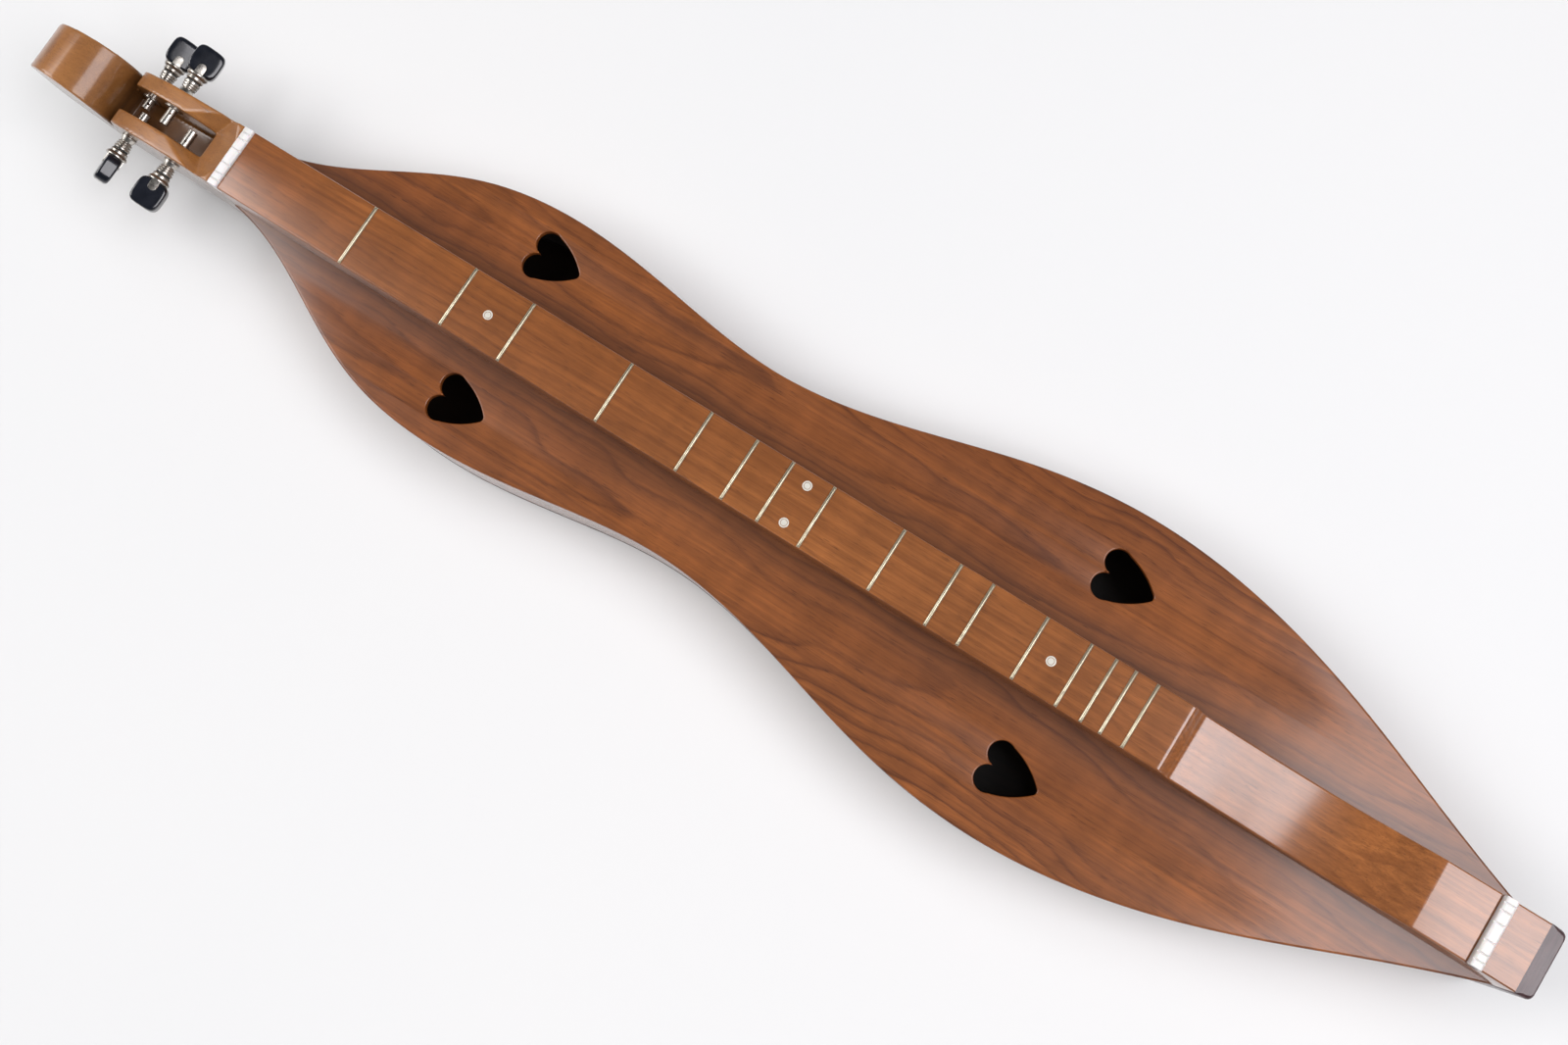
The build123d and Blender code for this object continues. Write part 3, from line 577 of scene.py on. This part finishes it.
def half_plate(name, node_name, side, upward, radius, slot, hole_radius=0.7 * MM):
    """Half of the soundboard or back: outer edge rounded over, sound holes eased, middle joint straight."""
    node = nodes[node_name]
    low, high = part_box(node_name)
    face = high.z if upward > 0 else low.z
    depth = high.z - low.z
    line, normals = flank_of(node, side, upward)
    build = Build()
    rows = []
    for inset, down in edge_profile(radius, depth):
        points = line - normals * inset
        rows.append(build.row([(x, y * side, face - upward * down) for x, y in points]))
    build.skin(rows)
    levels = (face, face - upward * depth)
    middle = [build.row([(line[-1][0], 0, z), (line[0][0], 0, z)]) for z in levels]
    holes_near, holes_far = [], []
    for loop in rim_loops(node, face, upward)[1:]:
        ring = np.array(heart_ring(loop))
        normal = outward(ring, closed=True)
        doubled_area = np.sum(ring[:, 0] * np.roll(ring[:, 1], -1) - np.roll(ring[:, 0], -1) * ring[:, 1])
        normal *= 1 if doubled_area < 0 else -1
        rings = []
        for inset, down in edge_profile(hole_radius, depth, 4):
            points = ring + normal * inset
            rings.append(build.row([(x, y, face - upward * down) for x, y in points]))
        build.skin(rings, around=True)
        holes_near.append(rings[0])
        holes_far.append(rings[-1])
    build.cap(rows[0] + middle[0], *holes_near)
    build.cap(rows[-1] + middle[1], *holes_far)
    build.faces.append((middle[0][0], middle[0][1], middle[1][1], middle[1][0]))
    build.faces.append(tuple([row[-1] for row in rows] + [middle[1][0], middle[0][0]]))
    build.faces.append(tuple([row[0] for row in rows] + [middle[1][1], middle[0][1]]))
    return piece_from(build, name, "root", slot, node_name)


def rib(name, node_name, side):
    """One bent side, set in by a hair from the plates so that the joint shows as a fine line."""
    low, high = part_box(node_name)
    line, normals = flank_of(nodes["back_left" if side > 0 else "back_right"], side, -1)
    keep = (line[:, 0] > low.x) & (line[:, 0] < high.x)
    line, normals = line[keep], normals[keep]
    shy = 0.15 * MM
    build = Build()
    rows = []
    for inset, z in ((shy, low.z), (shy, high.z), (SIDE_THICKNESS, high.z), (SIDE_THICKNESS, low.z)):
        points = line - normals * inset
        rows.append(build.row([(x, y * side, z) for x, y in points]))
    build.skin(rows, closed=True)
    for end in (0, -1):
        build.faces.append(tuple(row[end] for row in rows))
    return piece_from(build, name, "root", "walnut_side", node_name)


def make_body():
    for word, side in (("left", 1), ("right", -1)):
        half_plate(f"soundboard_{word}_plate", f"soundboard_{word}", side, 1, EDGE_ROUND, "walnut_top")
        half_plate(f"back_{word}_plate", f"back_{word}", side, -1, EDGE_ROUND, "walnut_back")
        rib(f"side_{word}_rib", f"side_{word}", side)


# ---------------------------------------------------------------- fretboard
HOLLOW_START = BOARD_START + 541.5 * MM
# Strum hollow: distance from its lip and depth there in millimetres, and the slope.
HOLLOW = [
    (0.0, 0.0, 0.0), (1.2, 0.12, 0.25), (3.6, 1.9, 1.05), (6.6, 5.0, 0.72), (10.5, 6.55, 0.20),
    (16.0, 7.3, 0.13), (30.0, 8.8, 0.07), (46.0, 9.8, 0.05), (68.0, 10.7, 0.0), (88.0, 9.5, -0.12),
    (104.0, 6.3, -0.25), (118.0, 2.1, -0.27), (124.0, 0.7, -0.17), (128.5, 0.0, 0.0),
]
GROOVE = 1.4 * MM                # dark gap between the board and the bridge
GROOVE_DEPTH = 1.6 * MM


def hollow_depth(x):
    """Depth of the top below the playing surface at a station, by cubic pieces."""
    at = (x - HOLLOW_START) / MM
    if at <= 0 or at >= HOLLOW[-1][0]:
        return 0.0
    for (x0, d0, s0), (x1, d1, s1) in zip(HOLLOW, HOLLOW[1:]):
        if at <= x1:
            h = x1 - x0
            t = (at - x0) / h
            depth = (2 * t ** 3 - 3 * t * t + 1) * d0 + (t ** 3 - 2 * t * t + t) * h * s0
            depth += (3 * t * t - 2 * t ** 3) * d1 + (t ** 3 - t * t) * h * s1
            return depth * MM


def make_fretboard():
    low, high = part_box("fretboard")
    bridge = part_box("bridge")
    corner = 0.9 * MM
    stations = [(x, 0.0) for x in np.arange(low.x, HOLLOW_START, 12 * MM)]
    steps = np.r_[np.arange(0, 20, 0.6), np.arange(20, 112, 2.0), np.arange(112, 128.6, 0.75)]
    stations += [(HOLLOW_START + s * MM, hollow_depth(HOLLOW_START + s * MM)) for s in steps]
    stations += [(bridge[0].x - GROOVE, 0.0), (bridge[0].x - GROOVE + 0.01 * MM, GROOVE_DEPTH)]
    stations += [(bridge[0].x, GROOVE_DEPTH), (bridge[0].x + 0.01 * MM, 0.0), (high.x, 0.0)]
    build = Build()
    rows = []
    for x, depth in stations:
        top = TOP - depth
        section = [(x, -HALF_BOARD, low.z)]
        for k in range(6):
            angle = 0.5 * pi * k / 5
            section.append((x, -HALF_BOARD + corner * (1 - cos(angle)), top - corner * (1 - sin(angle))))
        section += [(x, -y, z) for _, y, z in reversed(section)]
        rows.append(build.row(section))
    build.skin(rows, around=True)
    build.cap(rows[0])
    build.cap(rows[-1])
    piece_from(build, "fretboard_carved", "root", "walnut_fretboard", "fretboard", sharp=40)


def make_frets():
    """Crowned wires with their ends filed to a slope, at the stations of the CAD frets."""
    node = nodes["frets"]
    xs = sorted({round(v.co.x, 6) for v in node.data.vertices if v.co.z > TOP + 0.9 * MM})
    stations = []
    for x in xs:
        if not stations or x - stations[-1][-1] > 3 * MM:
            stations.append([x])
        else:
            stations[-1].append(x)
    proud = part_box("frets")[1].z - TOP
    half, reach = 0.9 * MM, HALF_BOARD - 0.35 * MM
    build = Build()
    for group in stations:
        middle = sum(group) / len(group)
        rows = []
        for y, share in ((-reach, 0.12), (-reach + 0.35 * MM, 0.72), (-reach + 0.9 * MM, 1.0),
                         (reach - 0.9 * MM, 1.0), (reach - 0.35 * MM, 0.72), (reach, 0.12)):
            arch = [(middle + half * cos(pi * k / 10), y, TOP + proud * share * sin(pi * k / 10))
                    for k in range(11)]
            arch += [(middle - half * 0.8, y, TOP - 0.3 * MM), (middle + half * 0.8, y, TOP - 0.3 * MM)]
            rows.append(build.row(arch))
        build.skin(rows, around=True)
        build.cap(rows[0])
        build.cap(rows[-1])
    piece_from(build, "fret_wires", "root", "fret_wire", "frets", sharp=50)


def centres_of(name, reach):
    """Middle x and y of each separate round piece in a node."""
    found = []
    for v in nodes[name].data.vertices:
        for spot in found:
            if (Vector((v.co.x, v.co.y)) - spot[0]).length < reach:
                spot[1].append(v.co.copy())
                break
        else:
            found.append((Vector((v.co.x, v.co.y)), [v.co.copy()]))
    middles = []
    for _, points in found:
        xs, ys = [p.x for p in points], [p.y for p in points]
        middles.append(((min(xs) + max(xs)) / 2, (min(ys) + max(ys)) / 2))
    return middles


def make_markers():
    """Round inlays with a turned ring, standing a hair above the varnish."""
    proud = 0.08 * MM
    profile = [(0.0, 0.0), (1.45, 0.0), (1.55, -0.09), (1.72, -0.09), (1.82, 0.0), (2.3, 0.0), (2.45, -0.08),
               (2.5, -1.2), (0.0, -1.2)]
    build = Build()
    for x, y in centres_of("marker_dots", 6 * MM):
        rows = []
        for k in range(40):
            angle = 2 * pi * k / 40
            rows.append(build.row([
                (x + r * MM * cos(angle), y + r * MM * sin(angle), TOP + proud + z * MM) for r, z in profile
            ]))
        build.skin(rows, closed=True)
    piece_from(build, "marker_inlays", "root", "marker", "marker_dots")


def string_strip(name, node_name, slot_places, back_fall, front_ease):
    """A bone strip across the board with filed string slots and softened edges."""
    low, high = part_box(node_name)
    corners = [(low.x, low.z), (high.x, low.z), (high.x, high.z - front_ease),
               (high.x - front_ease * 0.6, high.z - front_ease * 0.1),
               (low.x + back_fall, high.z), (low.x, high.z - back_fall * 0.8)]
    section = eased(corners, 0.7 * MM, 4)
    slot_half, slot_depth = 0.5 * MM, 1.3 * MM
    stations = {low.y: 0.4 * MM, low.y + 0.12 * MM: 0.12 * MM, low.y + 0.4 * MM: 0.0,
                high.y - 0.4 * MM: 0.0, high.y - 0.12 * MM: 0.12 * MM, high.y: 0.4 * MM}
    for y in [s * p * MM for p in slot_places for s in (1, -1)]:
        for offset, share in ((-slot_half, 0), (-slot_half * 0.8, 0.75), (0, 1), (slot_half * 0.8, 0.75),
                              (slot_half, 0)):
            stations[y + offset] = share * slot_depth
    build = Build()
    rows = []
    for y in sorted(stations):
        edge_pull = stations[y] if abs(y) > high.y - 0.5 * MM else 0.0
        lid = high.z - (0.0 if edge_pull else stations[y])
        rows.append(build.row([
            (max(low.x + edge_pull, min(high.x - edge_pull, x)), y, min(z, lid, high.z - edge_pull))
            for x, z in section
        ]))
    build.skin(rows, around=True)
    build.cap(rows[0])
    build.cap(rows[-1])
    piece_from(build, name, "root", "bone", node_name, sharp=28)


STRING_SLOTS = (4.4, 10.35, 14.1)   # millimetres from the middle, on each side


def make_tail():
    """The dark end cap with its rounded corners, and the four string nails."""
    low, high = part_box("tail_cap")
    corner, ease = 5.0 * MM, 2.4 * MM
    plan = eased([(low.x, low.y), (high.x, low.y), (high.x, high.y), (low.x, high.y)], corner * 1.35, 8)
    plan = [(low.x if p.x - low.x < corner * 0.9 else p.x, p.y) for p in plan]
    plan = [p for i, p in enumerate(plan) if p != plan[i - 1]]
    middle = Vector((low.x, 0))
    build = Build()
    rows = [build.row([(x, y, low.z) for x, y in plan])]
    for k in range(9):
        angle = 0.5 * pi * k / 8
        pull = ease * (1 - cos(angle))
        ring = []
        for x, y in plan:
            away = Vector((x, y)) - middle
            share = 0.0 if x - low.x < 0.01 * MM else min(1.0, (x - low.x) / corner)
            shift = away.normalized() * pull * share if away.length else Vector((0, 0))
            ring.append((x - shift.x, y - shift.y, high.z - ease * (1 - sin(angle)) * share))
        rows.append(build.row(ring))
    build.skin(rows, around=True)
    build.cap(rows[0])
    build.faces.append(tuple(rows[-1]))
    piece_from(build, "tail_cap_rounded", "root", "rosewood", "tail_cap")
    pins_low, pins_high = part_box("string_pins")
    height = (pins_low.z + pins_high.z) / 2
    build = Build()
    for y in [s * p * MM for p in (STRING_SLOTS[0], STRING_SLOTS[2]) for s in (1, -1)]:
        profile = eased([(pins_low.x, 0), (pins_low.x, 1 * MM), (pins_high.x - 1 * MM, 1 * MM),
                         (pins_high.x - 1 * MM, 1.7 * MM), (pins_high.x - 0.4 * MM, 1.65 * MM),
                         (pins_high.x, 0.9 * MM), (pins_high.x, 0)], 0.3 * MM, 3, closed=False)
        rows = []
        for k in range(24):
            angle = 2 * pi * k / 24
            rows.append(build.row([(x, y + r * cos(angle), height + r * sin(angle)) for x, r in profile]))
        build.skin(rows, closed=True)
    piece_from(build, "string_nails", "root", "nickel", "string_pins")


# ---------------------------------------------------------------- peghead
def make_peghead():
    """The carved head: the CAD solid remeshed finely, then its edges worn round as a rasp leaves them."""
    mesh = nodes["peghead"].data.copy()
    bm = bmesh.new()
    bm.from_mesh(mesh)
    bmesh.ops.remove_doubles(bm, verts=bm.verts, dist=2e-6)
    bm.to_mesh(mesh)
    bm.free()
    carver = bpy.data.objects.new("carver", mesh)
    bpy.context.scene.collection.objects.link(carver)
    remesh = carver.modifiers.new("remesh", "REMESH")
    remesh.mode = "VOXEL"
    remesh.voxel_size = 0.55 * MM
    soften = carver.modifiers.new("soften", "SMOOTH")
    soften.factor = 0.5
    soften.iterations = 9
    thin = carver.modifiers.new("thin", "DECIMATE")
    thin.ratio = 0.35
    bpy.context.view_layer.update()
    carved = bpy.data.meshes.new_from_object(carver.evaluated_get(bpy.context.evaluated_depsgraph_get()))
    bpy.data.objects.remove(carver)
    finish_piece("peghead_carved", carved, "root", "walnut_head", "peghead", sharp=75)


# ---------------------------------------------------------------- tuners
TUNER_TURNS = {"tuner_1": -32.0, "tuner_2": -28.0, "tuner_3": 52.0, "tuner_4": -20.0}
BUTTON_SEGMENTS = 64


class Tuner:
    """The axis of one tuner, read from its washer, and ways to set things along it."""

    def __init__(self, name):
        self.name = name
        low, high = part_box(f"{name}_washer")
        self.x, self.z = (low.x + high.x) / 2, (low.z + high.z) / 2
        self.side = 1 if low.y > 0 else -1
        self.turn = Matrix.Rotation(radians(-TUNER_TURNS[name]), 3, "Y")

    def span(self, part):
        """Distance of a part's near and far ends from the instrument's middle."""
        low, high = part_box(f"{self.name}_{part}")
        ends = sorted((low.y * self.side, high.y * self.side))
        return ends[0], ends[1]

    def at(self, across, out, thick):
        """A point given across the button, outwards along the axis and through its thickness."""
        turned = self.turn @ Vector((across, 0, thick))
        return (self.x + turned.x, self.side * out, self.z + turned.z)

    def lathe(self, profile, ease=0.2 * MM, segments=48, ring=True, steps=3):
        """Turned metal: a profile of outward distance and radius, spun round the axis."""
        build = Build()
        points = eased(profile, ease, steps, closed=ring)
        rows = []
        for k in range(segments):
            angle = 2 * pi * k / segments
            rows.append(build.row([self.at(r * cos(angle), out, r * sin(angle)) for out, r in points]))
        build.skin(rows, around=ring, closed=True)
        return build


BORE = 2.56 * MM
# Ringed part of the bushing: distance out from the cheek and radius, in millimetres.
BUSHING_RINGS = [
    (0.0, 3.45), (0.0, 4.1), (0.7, 4.15), (2.9, 3.25), (3.1, 3.0), (3.5, 3.0), (3.6, 3.75), (4.35, 3.9),
    (4.45, 3.15), (4.85, 3.15), (4.95, 4.0), (5.75, 4.15), (5.85, 3.3), (6.2, 3.3), (6.3, 4.2), (7.6, 4.35),
    (7.6, 2.56),
]


def fixed_hardware(t):
    """Ferrule inside the slot, ringed bushing outside and the washer under the button's collar."""
    near, far = t.span("ferrule")
    flange = near + 0.8 * MM
    build = t.lathe([(near, BORE), (near, 4.5 * MM), (near + 0.25 * MM, 5.0 * MM), (flange, 5.0 * MM),
                     (flange, 3.45 * MM), (far, 3.45 * MM), (far, BORE)])
    piece_from(build, f"{t.name}_ferrule_turned", "root", "nickel", f"{t.name}_ferrule")
    near, far = t.span("bushing")
    seat = far - BUSHING_RINGS[-1][0] * MM
    profile = [(near, BORE), (near, 3.45 * MM)] + [(seat + d * MM, r * MM) for d, r in BUSHING_RINGS]
    piece_from(t.lathe(profile, 0.12 * MM), f"{t.name}_bushing_turned", "root", "nickel",
               f"{t.name}_bushing")
    near, far = t.span("washer")
    build = t.lathe([(near, BORE), (near, 3.9 * MM), (far, 3.9 * MM), (far, BORE)])
    piece_from(build, f"{t.name}_washer_cut", "root", "fibre", f"{t.name}_washer")


def tab(build, t, start, reach, height, thickness, half_width):
    """One rounded tongue of the collar, lying on a face of the button."""
    outline = [(-half_width, start)]
    for k in range(13):
        angle = pi * k / 12
        outline.append((-half_width * cos(angle), start + reach + half_width * sin(angle)))
    outline.append((half_width, start))
    line = np.array(outline)
    normal = -outward(line)
    inner, outer = height, height + thickness
    rows = []
    for inset, h in ((0.0, inner), (0.0, outer - 0.5 * thickness), (0.15 * MM, outer - 0.1 * thickness),
                     (0.4 * MM, outer)):
        points = line + normal * inset
        rows.append(build.row([t.at(u, out, h) for u, out in points]))
    build.skin(rows, around=True)
    build.cap(rows[0])
    build.cap(rows[-1])


def collar(t):
    near, far = t.span("washer")
    start = far + 0.15 * MM
    flange = start + 2.0 * MM
    lip = flange + 2.4 * MM
    build = t.lathe([
        (start, 2.5 * MM), (start, 4.0 * MM), (start + 0.6 * MM, 4.6 * MM), (flange, 4.5 * MM),
        (flange + 0.2 * MM, 4.9 * MM), (flange + 1.1 * MM, 5.65 * MM), (lip - 0.4 * MM, 5.7 * MM),
        (lip, 5.3 * MM), (lip, 2.5 * MM),
    ], 0.3 * MM)
    for face in (1, -1):
        height = 4.02 * MM if face > 0 else -4.5 * MM
        tab(build, t, lip - 0.2 * MM, 3.4 * MM, height, 0.48 * MM, 2.3 * MM)
    piece_from(build, f"{t.name}_collar_pressed", t.name, "nickel", f"{t.name}_collar")


# Button: share of its length, half width, half thickness, squareness of the section.
BUTTON_PROFILE = [
    (0.000, 4.9, 3.3, 3.0), (0.010, 5.5, 3.75, 3.4), (0.04, 6.3, 4.0, 4.5), (0.10, 7.0, 4.0, 6.5),
    (0.20, 7.5, 4.0, 8.0), (0.34, 7.72, 4.0, 8.5), (0.52, 7.75, 4.0, 8.5), (0.70, 7.72, 4.0, 8.0),
    (0.82, 7.45, 3.97, 7.0), (0.90, 6.95, 3.88, 6.0), (0.955, 6.2, 3.66, 5.0), (0.985, 5.35, 3.3, 4.0),
    (1.0, 4.4, 2.95, 3.0),
]
DIMPLE = [(1.0, 2.8), (0.99, 2.65), (0.93, 2.6), (0.90, 2.5), (0.90, 0.6)]


def button(t):
    near, far = t.span("button")
    length = far - near
    build = Build()
    rows = []
    for share, wide, thick, square in BUTTON_PROFILE:
        ring = []
        for k in range(BUTTON_SEGMENTS):
            angle = 2 * pi * k / BUTTON_SEGMENTS
            c, s = cos(angle), sin(angle)
            u = wide * MM * abs(c) ** (2 / square) * (1 if c > 0 else -1)
            v = thick * MM * abs(s) ** (2 / square) * (1 if s > 0 else -1)
            ring.append(t.at(u, near + share * length, v))
        rows.append(build.row(ring))
    for share, radius in DIMPLE:
        ring = []
        for k in range(BUTTON_SEGMENTS):
            angle = 2 * pi * k / BUTTON_SEGMENTS
            ring.append(t.at(radius * MM * cos(angle), near + share * length, radius * MM * sin(angle)))
        rows.append(build.row(ring))
    build.skin(rows, around=True)
    build.cap(rows[0])
    build.cap(rows[-1])
    piece_from(build, f"{t.name}_button_moulded", t.name, "black_plastic", f"{t.name}_button", sharp=40)
    head = near + 0.915 * length
    build = t.lathe([(near + 0.7 * length, 0), (near + 0.7 * length, 1.2 * MM), (head, 1.2 * MM),
                     (head, 2.45 * MM), (head + 0.7 * MM, 2.45 * MM), (head + 1.15 * MM, 1.5 * MM),
                     (head + 1.2 * MM, 0)], 0.15 * MM, ring=False)
    for side in (1, -1):
        edges = [(side * 0.28, 2.2), (side * 0.28, -2.2), (side * 2.0, -0.9), (side * 2.0, 0.9)]
        low = build.row([t.at(u * MM, head + 1.1 * MM, v * MM) for u, v in edges])
        high = build.row([t.at(u * MM, head + 1.3 * MM, v * 0.98 * MM) for u, v in edges])
        build.skin([low, high], around=True)
        build.cap(low)
        build.cap(high)
    piece_from(build, f"{t.name}_screw_slotted", t.name, "nickel", f"{t.name}_screw")


def make_tuners():
    for name in TUNER_TURNS:
        t = Tuner(name)
        fixed_hardware(t)
        collar(t)
        button(t)


# ---------------------------------------------------------------- carried-over nodes, floor
INNER = ("head_block", "tail_block", "top_lining", "back_lining", "back_brace", "top_brace", "back_centre")


def dress_carried_nodes():
    for name, node in nodes.items():
        slot = "inner_wood" if name.startswith(INNER) else "nickel"
        if name.startswith(INNER) or name.endswith("_post"):
            node.data.materials.clear()
            node.data.materials.append(materials[slot])


def make_floor():
    g = Graph("floor")
    cloud = g.noise(1.6, detail=2.0)
    g.set(Base_Color=g.ramp(cloud, (0.3, (0.685, 0.69, 0.695)), (0.7, (0.70, 0.70, 0.70))), Roughness=0.85)
    g.set(Specular_IOR_Level=0.2)
    size, sink = 6.0, -0.4 * MM
    corners = [(-size, -size, sink), (size, -size, sink), (size, size, sink), (-size, size, sink)]
    mesh = bpy.data.meshes.new("floor")
    mesh.from_pydata(corners, [], [(0, 1, 2, 3)])
    mesh.materials.append(g.material)
    floor = bpy.data.objects.new("floor", mesh)
    bpy.context.scene.collection.objects.link(floor)


make_camera()
make_lights()
make_floor()
materials = make_materials()
dress_carried_nodes()
make_body()
make_fretboard()
make_frets()
make_markers()
string_strip("nut_filed", "nut", STRING_SLOTS, 1.0 * MM, 0.8 * MM)
string_strip("bridge_filed", "bridge", STRING_SLOTS, 0.9 * MM, 1.8 * MM)
make_tail()
make_peghead()
make_tuners()
